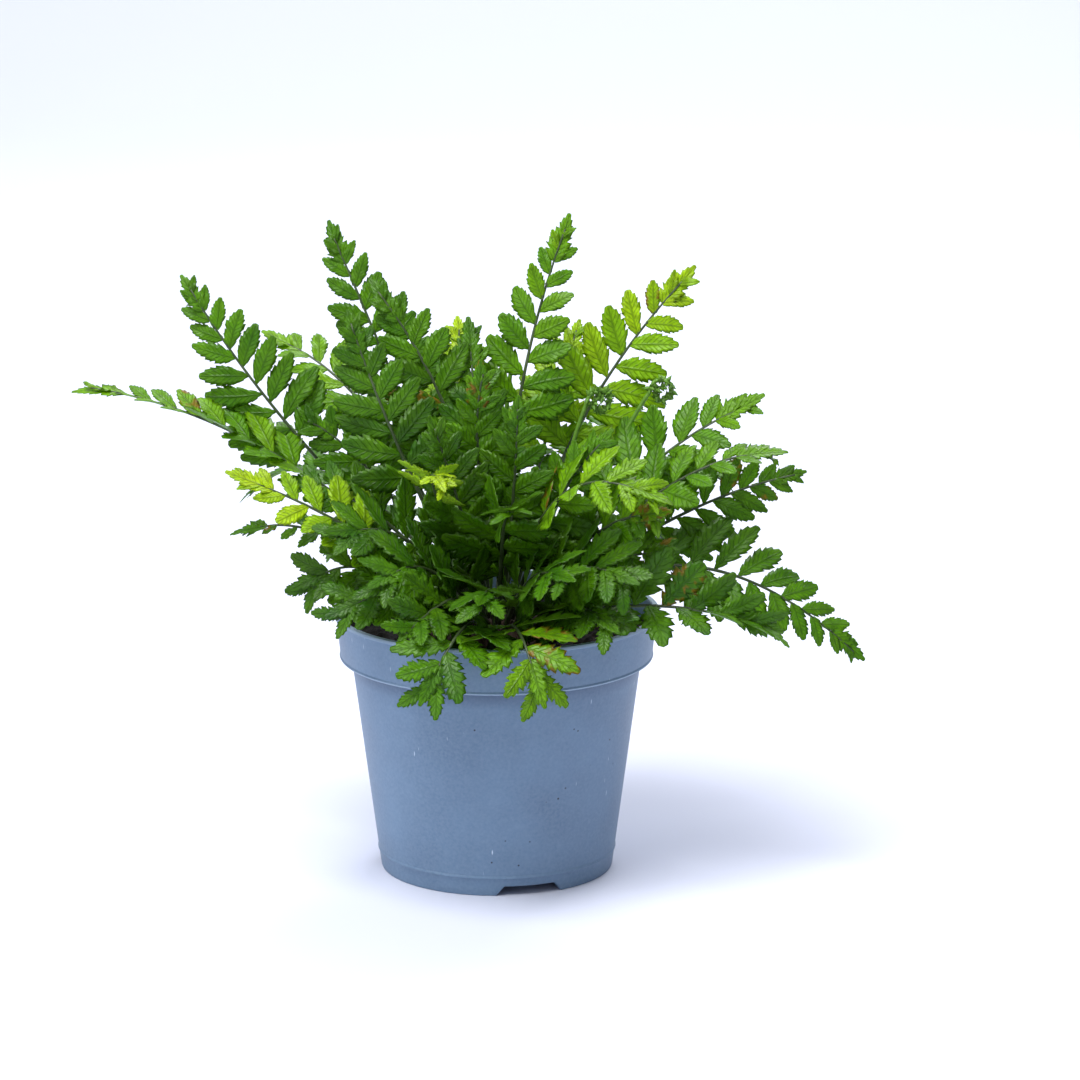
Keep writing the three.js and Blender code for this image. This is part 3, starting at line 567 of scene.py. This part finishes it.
def leaflet_shells(long, wide, slant, raise_by, side, frames, looks):
    """Thin closed shells, one per leaflet, each a ring of eight points carried along the vein.
    Across the ring the blade folds up from the vein and its edges ripple with the teeth; along
    it the blade droops with the square of the distance and bends towards the frond's tip."""
    spot, tangent, face, across = frames
    stations = 2 * TEETH + 1
    along = np.linspace(0, 1, stations)
    half = np.maximum(toothed_width(along, wide, looks), 0.3)
    tooth = np.where(np.arange(stations) % 2 == 1, 0.6 / TEETH, 0.0) * np.sin(np.pi * along) ** 0.3
    edge = np.abs(RING) == 1
    x = along[None, :, None] + np.where(edge, 1, 0.35 * np.abs(RING))[None, None] * tooth[None, :, None]
    x = np.minimum(x, 1.0) * long[:, None, None]
    y = half[:, :, None] * RING[None, None]
    # the upper lobe at the base stands out further on the side towards the frond's tip
    ear = 1 + 0.3 * np.exp(-((along - 0.2) / 0.12) ** 2)
    y = np.where(RING > 0, y * ear[None, :, None], y)
    body = 0.16 * UPPER * (1 - 0.5 * along[:, None])
    rib = np.where((RING == 0) & (UPPER < 0), -0.22 * (1 - 0.8 * along[:, None]), 0.0)
    z = looks["fold"][:, None, None] * np.abs(y) + body[None] + rib[None]
    swing = along * looks["waves"][:, None] + looks["phase"][:, None]
    ripple = looks["ripple"][:, None] * np.sin(2 * np.pi * swing)
    z = z + ripple[:, :, None] * (y / np.maximum(wide[:, None, None] / 2, 0.5)) ** 2 * np.sign(RING + 1e-9)
    z = z - looks["droop"][:, None, None] * (x / long[:, None, None]) ** 2 * long[:, None, None]
    y = y + looks["sweep"][:, None, None] * (x / long[:, None, None]) ** 2 * long[:, None, None]
    twist = looks["twist"][:, None, None] * x / long[:, None, None]
    y, z = y * np.cos(twist) - z * np.sin(twist), y * np.sin(twist) + z * np.cos(twist)

    out = across * (side * np.cos(raise_by))[:, None] + face * np.sin(raise_by)[:, None]
    forward = tangent * np.cos(slant)[:, None] + out * np.sin(slant)[:, None]
    normal = np.cross(tangent, out) * side[:, None]
    sideways = np.cross(normal, forward) * side[:, None]
    points = (spot[:, None, None] + forward[:, None, None] * x[..., None]
              + (sideways * side[:, None])[:, None, None] * y[..., None]
              + normal[:, None, None] * z[..., None])
    uv = np.stack(np.broadcast_arrays(along[None, :, None], RING[None, None] / 2 + 0.5, x)[:2], -1)
    return points, uv, np.broadcast_to(UPPER < 0, x.shape)


def stalk_tube(control, length, turn):
    """A tube of eight sides along the whole curve. It thins evenly from foot to tip and has a
    shallow groove down its upper side."""
    lengths = np.linspace(0, length * 0.985, 44)
    spot, _, face, across = blade_frames(control, turn, lengths)
    angle = np.linspace(0, 2 * np.pi, 8, endpoint=False)
    thick = 1.0 - 0.68 * lengths / length
    ring = across[:, None] * np.cos(angle)[None, :, None] + face[:, None] * np.sin(angle)[None, :, None]
    groove = np.where(np.isclose(angle, np.pi / 2), 0.72, 1.0)
    return spot[:, None] + ring * (thick[:, None] * groove[None])[..., None]


def tubes_mesh(blocks):
    """Joins blocks of closed tubes, each block an array (tubes, rings, points round, 3), into
    one list of points and one list of faces with a face over every end."""
    points, faces, start = [], [], 0
    for block in blocks:
        tubes, rings, around = block.shape[:3]
        pattern = grid_faces(rings, around, True)
        starts = start + np.arange(tubes) * rings * around
        faces += (pattern[None] + starts[:, None, None]).reshape(-1, 4).tolist()
        first = np.arange(around)[::-1]
        last = (rings - 1) * around + np.arange(around)
        faces += (first[None] + starts[:, None]).tolist() + (last[None] + starts[:, None]).tolist()
        points.append(block.reshape(-1, 3))
        start += block.shape[0] * rings * around
    return np.vstack(points), faces


def paint(piece, name, values):
    """Stores one number for each point of the mesh under a name that the material reads."""
    layer = piece.data.attributes.new(name, "FLOAT", "POINT")
    layer.data.foreach_set("value", np.asarray(values, np.float32).ravel())


leaf_material, tree = new_material("living_fern_leaf")
# A thin fresh leaf: satin, its cuticle catching soft highlights, and lit through from behind.
# Young leaflets are lime green and old ones deep green, and the deep green also paints shade on
# fronds deep in the plant's shade; veins are darker, the underside paler, and a few margins have
# turned yellow and brown.
# Cells are drawn 2.4 mm across, far coarser than real ones, so that they show. Light patches are
# 12 mm and rusty ones 4 mm.
age_and_shade = add_node(tree, "Attribute", attribute_name="age_and_shade").outputs["Fac"]
under = add_node(tree, "Attribute", attribute_name="underside").outputs["Fac"]
stalk = add_node(tree, "Attribute", attribute_name="stalk").outputs["Fac"]
blemish = add_node(tree, "Attribute", attribute_name="blemish").outputs["Fac"]
place = add_node(tree, "TexCoord").outputs["Object"]
uv = add_node(tree, "UVMap", uv_map="leaf_uv").outputs["UV"]
split = add_node(tree, "SeparateXYZ", {"Vector": uv})
# the ramp from deep to lime green follows age, and its dark end also paints shade on shaded fronds
ramp = add_node(tree, "ValToRGB", {"Fac": age_and_shade})
stops = ((0.0, "#173d03"), (0.3, "#326805"), (0.55, "#589406"), (0.8, "#9acc08"), (1.0, "#cdea12"))
ramp.color_ramp.elements[0].color = linear(stops[0][1])
ramp.color_ramp.elements[1].color = linear(stops[-1][1])
for spot, colour in stops[1:-1]:
    ramp.color_ramp.elements.new(spot).color = linear(colour)
cells = add_node(tree, "TexNoise", {"Vector": place, "Scale": 420.0, "Detail": 4.0})
patches = add_node(tree, "TexNoise", {"Vector": place, "Scale": 85.0, "Detail": 3.0})
light = add_node(tree, "MapRange", {
    "Value": patches, "From Min": 0.3, "From Max": 0.7, "To Min": 0.0, "To Max": 0.36})
base = add_node(tree, "Mix", {0: light, 6: ramp, 7: linear("#86bc14")}, data_type="RGBA").outputs[2]
shade = add_node(tree, "MapRange", {
    "Value": cells, "From Min": 0.35, "From Max": 0.65, "To Min": 0.0, "To Max": 0.38})
base = add_node(tree, "Mix", {0: shade, 6: base, 7: linear("#143602")}, data_type="RGBA").outputs[2]
# distance from the vein, 0 on it and 1 at the edge, bends the side veins forwards
off = add_node(tree, "Math", {0: split.outputs["Y"], 1: 0.5}, operation="SUBTRACT")
off = add_node(tree, "Math", {0: off}, operation="ABSOLUTE")
lean = add_node(tree, "Math", {0: off, 1: -0.42, 2: split.outputs["X"]}, operation="MULTIPLY_ADD")
beat = add_node(tree, "Math", {0: lean, 1: 2 * np.pi * TEETH}, operation="MULTIPLY")
wave = add_node(tree, "Math", {0: beat}, operation="COSINE")
veins = add_node(tree, "MapRange", {"Value": wave, "From Min": 0.72, "From Max": 1.0})
midrib = add_node(tree, "MapRange", {
    "Value": off, "From Min": 0.015, "From Max": 0.07, "To Min": 1.0, "To Max": 0.0})
ribs = add_node(tree, "Math", {0: veins, 1: midrib}, operation="MAXIMUM")
rib_mask = add_node(tree, "Math", {0: ribs, 1: 0.42}, operation="MULTIPLY")
base = add_node(tree, "Mix", {0: rib_mask, 6: base, 7: linear("#173c02")}, data_type="RGBA").outputs[2]
pale = add_node(tree, "Math", {0: under, 1: 0.3}, operation="MULTIPLY")
base = add_node(tree, "Mix", {0: pale, 6: base, 7: linear("#86ae4a")}, data_type="RGBA").outputs[2]
rust = add_node(tree, "TexNoise", {"Vector": place, "Scale": 230.0, "Detail": 3.0})
rust_edge = add_node(tree, "Math", {0: off, 1: 0.35, 2: rust}, operation="MULTIPLY_ADD")
rust_spot = add_node(tree, "MapRange", {"Value": rust_edge, "From Min": 0.62, "From Max": 0.7})
rust_mask = add_node(tree, "Math", {0: rust_spot, 1: blemish}, operation="MULTIPLY")
base = add_node(tree, "Mix", {0: rust_mask, 6: base, 7: linear("#8a6a1c")}, data_type="RGBA").outputs[2]
# the stalk's dark green, patched with a paler grey-green that is a painted highlight
stalk_tone_and_highlight = add_node(tree, "Mix", {
    0: light, 6: linear("#2d3d1c"), 7: linear("#6d7f58")}, data_type="RGBA").outputs[2]
base = add_node(tree, "Mix", {0: stalk, 6: base, 7: stalk_tone_and_highlight}, data_type="RGBA").outputs[2]
height = add_node(tree, "Math", {0: ribs, 1: -0.6, 2: cells}, operation="MULTIPLY_ADD")
relief = add_node(tree, "Bump", {"Height": height, "Strength": 0.7, "Distance": 0.0006})
cuticle = add_node(tree, "BsdfPrincipled", {
    "Base Color": base, "Roughness": 0.38, "IOR": 1.4, "Normal": relief})
through = add_node(tree, "Mix", {0: 0.45, 6: base, 7: linear("#c8f000")}, data_type="RGBA").outputs[2]
glow = add_node(tree, "BsdfTranslucent", {"Color": through, "Normal": relief})
thin = add_node(tree, "Math", {0: stalk, 1: -0.38, 2: 0.38}, operation="MULTIPLY_ADD")
both = add_node(tree, "MixShader", {0: thin, 1: cuticle, 2: glow})
add_node(tree, "OutputMaterial", {"Surface": both})


def leaflet_table(frond, length):
    """Where the leaflets join the midrib, with their slant, length and width: the two ranks
    stand half a step apart, and the leaflets slant and shorten towards the tip."""
    pair, rank = np.meshgrid(np.arange(frond["pairs"] + 1), np.array([1.0, -1.0]), indexing="ij")
    pair, side = pair.ravel(), rank.ravel()
    step = frond["blade"] / (frond["pairs"] + 1.2)
    order = pair + np.where(side > 0, 0.2, 0.7)
    share = order / (frond["pairs"] + 2.0)
    at = length - frond["blade"] + order * step
    slant = np.radians(frond.get("slant", 68) - 40 * share)
    long = frond["leaf"] * (1 - share) ** frond.get("taper", 0.72) * np.where(pair == 0, 0.95, 1.04)
    wide = frond.get("broad", 1.28) * step * (1 - 0.45 * share)
    return at, slant, long, np.minimum(wide, (0.64 - 0.2 * share) * long), side, share


def frond_mesh(name, frond, control, seed):
    """One frond: its leaflets, the lobed end of its blade and its stalk in one mesh."""
    random = np.random.default_rng(seed)
    length = curve_length(control)
    at, slant, long, wide, side, share = leaflet_table(frond, length)
    step = frond["blade"] / (frond["pairs"] + 1.2)
    end_long = 1.9 * step
    count = len(at) + 1
    lateral = np.arange(count) < count - 1
    at = np.append(at, length - 0.8 * end_long)
    slant = np.append(slant + random.normal(0, 0.05, len(slant)), 0.0)
    long = np.append(long * random.uniform(0.94, 1.08, len(long)), end_long)
    wide = np.append(wide * random.uniform(0.94, 1.1, len(wide)), 0.5 * end_long)
    side, share = np.append(side, 1.0), np.append(share, 0.95)
    looks = {
        "lobes": np.where(lateral, random.uniform(0.8, 1.2, count)
                          * frond.get("lobes", 0.16) * (1.3 - 0.6 * share), 0.3),
        "peak": np.where(lateral, random.uniform(0.38, 0.52, count), 0.3),
        "hold": np.where(lateral, np.clip(1.1 * share - 0.35, 0.06, 0.6), 0.5),
        "blunt": np.where(lateral, random.uniform(1.6, 2.3, count), 1.4),
        "fold": random.uniform(0.05, 0.28, count),
        "ripple": random.uniform(0.2, 0.8, count),
        "waves": random.uniform(1.2, 2.6, count),
        "phase": random.uniform(0, 1, count),
        "droop": random.normal(0.12, 0.07, count),
        "sweep": np.where(lateral, -random.uniform(0.0, 0.12, count), 0.0),
        "twist": random.normal(0, 0.16, count),
    }
    lift = np.radians(np.where(lateral, random.normal(frond.get("lift", 8), 7, count), 0.0))
    frames = blade_frames(control, frond["turn"], at)
    leaves, uv, below = leaflet_shells(long, wide, slant, lift, side, frames, looks)
    tube = stalk_tube(control, length, frond["turn"])[None]
    points, faces = tubes_mesh([leaves, tube])
    piece = mesh_piece(name, pot_axis + points * MM, faces, leaf_material)
    leaf_points = leaves[..., 0].size
    tube_points = tube[..., 0].size
    # each leaflet's tone follows the frond's age; low values also paint shade on the shaded fronds at the
    # front left
    age_and_shade = np.clip(frond["age_and_shade"] + 0.14 * share + random.normal(0, 0.05, count), 0, 1)
    spread = np.broadcast_to(age_and_shade[:, None, None], leaves.shape[:3])
    sick = np.where(random.uniform(0, 1, count) < frond.get("sick", 0.03), 1.0, 0.0)
    zeros = np.zeros(tube_points)
    paint(piece, "age_and_shade", np.concatenate([spread.ravel(), zeros + frond["age_and_shade"]]))
    paint(piece, "underside", np.concatenate([below.ravel(), zeros]))
    ailing = np.broadcast_to(sick[:, None, None], leaves.shape[:3])
    paint(piece, "blemish", np.concatenate([ailing.ravel(), zeros]))
    paint(piece, "stalk", np.concatenate([np.zeros(leaf_points), zeros + 1]))
    layer = piece.data.uv_layers.new(name="leaf_uv")
    flat = np.vstack([uv.reshape(-1, 2), np.full((tube_points, 2), 0.5)])
    corner = np.empty(len(piece.data.loops), np.int32)
    piece.data.loops.foreach_get("vertex_index", corner)
    layer.data.foreach_set("uv", flat[corner].astype(np.float32).ravel())
    return piece


controls = stalk_lines(FRONDS)
for index, (frond, control) in enumerate(zip(FRONDS, controls)):
    leaf = frond_mesh(f"fern_leaf_{index + 1:02d}", frond, control, 100 + index)
    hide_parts(f"frond_{index + 1:02d}")

# ---------------------------------------------------------------- unrolling fronds
# Young fronds come up coiled: a bare stalk with its tip rolled inwards, studded with the tight
# green buds of the leaflets and a few pale hairs.
CROSIER_FOOT = 12.0
CROSIER_BOW = 4.0
COIL_RADIUS = 5.2
COIL_TURNS = 1.35
CROSIERS = (((38, 12, 172), 20), ((42, 46, 154), 60), ((61, 21, 174), 20), ((3, 40, 182), 120))


def crosier_rise(top, look, aside, out):
    """The three control points of a crosier's stalk, from the clump to where its coil begins.
    The curve bows upwards through a point three fifths of the way along."""
    radius = CROSIER_FOOT * out
    angle = np.arctan2(top[1], top[0]) + np.radians(aside)
    foot = np.array([radius * np.cos(angle), radius * np.sin(angle), crown_top(radius) + GAP + STALK])
    sideways = np.array([np.cos(np.radians(look)), np.sin(np.radians(look)), 0.0])
    coil_start = np.array(top, float) - COIL_RADIUS * sideways
    bowed = foot + (coil_start - foot) * 0.6 + np.array([0.0, 0.0, CROSIER_BOW])
    return np.array([foot, 2 * bowed - (foot + coil_start) / 2, coil_start])


def crosier_path(top, look, control):
    """The rise, then a spiral that winds inwards in an upright plane: its angle falls evenly
    while its radius shrinks to three tenths."""
    sideways = np.array([np.cos(np.radians(look)), np.sin(np.radians(look)), 0.0])
    turn = np.linspace(0, 1, 46)
    spin = np.pi - COIL_TURNS * 2 * np.pi * turn
    reach = COIL_RADIUS * (1 - 0.7 * turn)
    coil = np.array(top, float) + np.outer(reach * np.cos(spin), sideways)
    coil = coil + np.outer(reach * np.sin(spin), [0.0, 0.0, 1.0])
    return np.vstack([along_curve(control, np.linspace(0, 1, 30)[:-1]), coil])


def tube_round(path, radius, sides):
    """A ring of points at right angles to the path at each of its points."""
    tangent = np.gradient(path, axis=0)
    tangent /= np.linalg.norm(tangent, axis=1, keepdims=True)
    first = np.cross(tangent, [0.13, 0.92, 0.2])
    first /= np.linalg.norm(first, axis=1, keepdims=True)
    second = np.cross(tangent, first)
    angle = np.linspace(0, 2 * np.pi, sides, endpoint=False)
    ring = first[:, None] * np.cos(angle)[None, :, None] + second[:, None] * np.sin(angle)[None, :, None]
    return path[:, None] + ring * radius[:, None, None]


def buds_along(path, count, size, seed):
    """Small pointed buds, each a spindle of five rings, standing out from the path on all sides."""
    random = np.random.default_rng(seed)
    at = random.uniform(0.4, 0.995, count) * (len(path) - 1)
    spot = np.stack([np.interp(at, np.arange(len(path)), path[:, axis]) for axis in range(3)], 1)
    aim = random.normal(0, 1, (count, 3))
    aim /= np.linalg.norm(aim, axis=1, keepdims=True)
    flat = np.cross(aim, [0.3, 0.5, 0.8])
    flat /= np.linalg.norm(flat, axis=1, keepdims=True)
    other = np.cross(aim, flat)
    along = np.linspace(0, 1, 6)
    thick = np.array([0.25, 0.42, 0.4, 0.28, 0.14, 0.03])
    angle = np.linspace(0, 2 * np.pi, 6, endpoint=False)
    long = size * random.uniform(0.7, 1.3, count)
    ring = flat[:, None] * np.cos(angle)[None, :, None] + other[:, None] * np.sin(angle)[None, :, None]
    middle = spot[:, None] + aim[:, None] * (long[:, None] * along)[..., None]
    return middle[:, :, None] + ring[:, None] * (long[:, None] * thick)[..., None, None] * 0.7


coil_material, tree = new_material("young_coiled_frond")
# Fresh unrolling tissue: bright yellow-green, satin, with darker green creases and brown hairs.
# Creases are 1.7 mm apart.
place = add_node(tree, "TexCoord").outputs["Object"]
creases = add_node(tree, "TexNoise", {"Vector": place, "Scale": 600.0, "Detail": 4.0})
base = add_node(tree, "Mix", {
    0: creases, 6: linear("#2f5a10"), 7: linear("#6f9c2e")}, data_type="RGBA").outputs[2]
relief = add_node(tree, "Bump", {"Height": creases, "Strength": 0.6, "Distance": 0.0004})
shader = add_node(tree, "BsdfPrincipled", {
    "Base Color": base, "Roughness": 0.5, "IOR": 1.42, "Normal": relief})
add_node(tree, "OutputMaterial", {"Surface": shader})

spread = np.linspace(0, 1, STALK_SAMPLES + 1)
taken = np.vstack([along_curve(control, spread) for control in controls])
for index, (top, look) in enumerate(CROSIERS):
    tries = [crosier_rise(top, look, aside, out) for out in FOOT_OUTS for aside in FOOT_ASIDES]
    free = [control for control in tries if np.linalg.norm(
        along_curve(control, spread)[:, None] - taken[None], axis=-1).min() > STALK_DISTANCE]
    control = (free + tries)[0]
    path = crosier_path(top, look, control)
    taken = np.vstack([taken, along_curve(control, spread)])
    radius = np.interp(np.arange(len(path)), [0, 30, len(path) - 1], [0.95, 0.75, 0.45])
    points, faces = tubes_mesh([tube_round(path, radius, 8)[None], buds_along(path, 90, 2.4, 40 + index)])
    coil = mesh_piece(f"coiled_frond_{index + 1}", pot_axis + points * MM, faces, coil_material)
    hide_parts(f"crosier_{index + 1}")

# ---------------------------------------------------------------- bark
# Torn chips of composted bark lying on the peat near the rim.
BARK_CHIPS = (((20, -49), 20, 5.5), ((27, -46), 75, 4.0), ((15, -46), 140, 3.5), ((-34, -38), 50, 4.5))


def bark_chip(at, turn, length, seed):
    """A flat rounded pebble: a squashed ball whose radius wobbles with a few sine waves."""
    random = np.random.default_rng(seed)
    rise, round_angle = np.meshgrid(np.linspace(0.08, np.pi - 0.08, 22),
                                    np.linspace(0, 2 * np.pi, 30, endpoint=False), indexing="ij")
    shifts = random.uniform(0, 2 * np.pi, 4)
    wobble = 1 + 0.12 * np.sin(3 * round_angle + shifts[0])
    wobble = wobble + 0.1 * np.sin(5 * round_angle + 4 * rise + shifts[1])
    wobble = wobble + 0.06 * np.sin(9 * round_angle - 6 * rise + shifts[2])
    x = length / 2 * np.sin(rise) * np.cos(round_angle) * wobble
    y = length / 3.4 * np.sin(rise) * np.sin(round_angle) * wobble
    z = length / 5 * np.cos(rise) * wobble
    heading = np.radians(turn)
    spot = np.stack([at[0] + x * np.cos(heading) - y * np.sin(heading),
                     at[1] + x * np.sin(heading) + y * np.cos(heading), SOIL_LEVEL + length / 5 + z], -1)
    return pot_axis + spot * MM


bark_material, tree = new_material("orange_brown_bark")
# Composted pine bark: matt, fibrous, orange-brown with pale broken edges.
# Fibres are 1.1 mm, drawn coarser than real ones so that they show.
place = add_node(tree, "TexCoord").outputs["Object"]
fibres = add_node(tree, "TexNoise", {"Vector": place, "Scale": 900.0, "Detail": 5.0})
base = add_node(tree, "Mix", {
    0: fibres, 6: linear("#6b3a1a"), 7: linear("#d59a63")}, data_type="RGBA").outputs[2]
relief = add_node(tree, "Bump", {"Height": fibres, "Strength": 0.8, "Distance": 0.0005})
shader = add_node(tree, "BsdfPrincipled", {
    "Base Color": base, "Roughness": 0.85, "IOR": 1.45, "Normal": relief})
add_node(tree, "OutputMaterial", {"Surface": shader})
for index, (at, turn, length) in enumerate(BARK_CHIPS):
    chip_points = bark_chip(at, turn, length, 60 + index)
    chip = mesh_piece(f"bark_piece_{index + 1}", chip_points, capped_faces(*chip_points.shape[:2]),
                      bark_material)
    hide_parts(f"bark_chip_{index + 1}")

# ---------------------------------------------------------------- studio
# A pale seamless paper sweep: flat under the pot and curving up behind it. Soft boxes light the
# plant from above the camera, the left and behind, one lights the paper, and the room is white.
SWEEP_BACK = 1.6
SWEEP_RADIUS = 0.9


def sweep():
    """A flat floor that turns through a quarter circle into an upright wall behind the pot."""
    turn = np.linspace(0, np.pi / 2, 24)
    y = np.concatenate([[-4.0], SWEEP_BACK + SWEEP_RADIUS * np.sin(turn), [SWEEP_BACK + SWEEP_RADIUS]])
    z = np.concatenate([[0.0], SWEEP_RADIUS * (1 - np.cos(turn)), [4.0]])
    x = np.array([-4.0, 4.0])
    sides = [np.broadcast_to(x, (len(y), 2)), np.repeat(y[:, None], 2, 1), np.repeat(z[:, None], 2, 1)]
    return np.stack(sides, -1)


paper_material, tree = new_material("matt_white_backdrop_paper")
# Matt white studio paper with a faint cool cast.
# The tone drifts over 330 mm.
place = add_node(tree, "TexCoord").outputs["Object"]
tone = add_node(tree, "TexNoise", {"Vector": place, "Scale": 3.0, "Detail": 2.0})
base = add_node(tree, "Mix", {
    0: tone, 6: linear("#cfd3e2"), 7: linear("#d3d7e6")}, data_type="RGBA").outputs[2]
shader = add_node(tree, "BsdfPrincipled", {"Base Color": base, "Roughness": 0.9})
add_node(tree, "OutputMaterial", {"Surface": shader})
surface = sweep()
backdrop = bpy.data.meshes.new("studio_sweep")
backdrop.from_pydata(surface.reshape(-1, 3).tolist(), [], grid_faces(len(surface), 2, False).tolist())
backdrop.polygons.foreach_set("use_smooth", np.ones(len(backdrop.polygons), bool))
backdrop.materials.append(paper_material)
backdrop_piece = bpy.data.objects.new("studio_sweep", backdrop)
bpy.context.scene.collection.objects.link(backdrop_piece)


def soft_light(name, place_at, aim, size, power, colour):
    """A square softbox that hangs at a place and is turned to face a point."""
    data = bpy.data.lights.new(name, "AREA")
    data.size = size
    data.energy = power
    data.color = linear(colour)[:3]
    lamp = bpy.data.objects.new(name, data)
    lamp.location = place_at
    lamp.rotation_euler = (Vector(aim) - Vector(place_at)).to_track_quat("-Z", "Y").to_euler()
    bpy.context.scene.collection.objects.link(lamp)


plant_middle = (0.0, 0.0, 0.12)
soft_light("softbox_top", (-0.35, -0.55, 1.6), plant_middle, 0.9, 35.0, "#ffffff")
soft_light("softbox_left", (-1.5, -1.2, 0.9), plant_middle, 1.6, 10.0, "#f6f8ff")
soft_light("softbox_back", (0.5, 1.2, 1.5), plant_middle, 1.0, 24.0, "#ffffff")
soft_light("softbox_backdrop", (0.0, 0.9, 2.3), (0.0, 2.5, 1.3), 1.2, 26.0, "#f8f9ff")

world = bpy.data.worlds.new("white_surround")
bpy.context.scene.world = world
world.use_nodes = True
surround = world.node_tree.nodes["Background"]
surround.inputs["Color"].default_value = linear("#eff2ff")
surround.inputs["Strength"].default_value = 0.40
bpy.context.scene.view_settings.view_transform = "Standard"
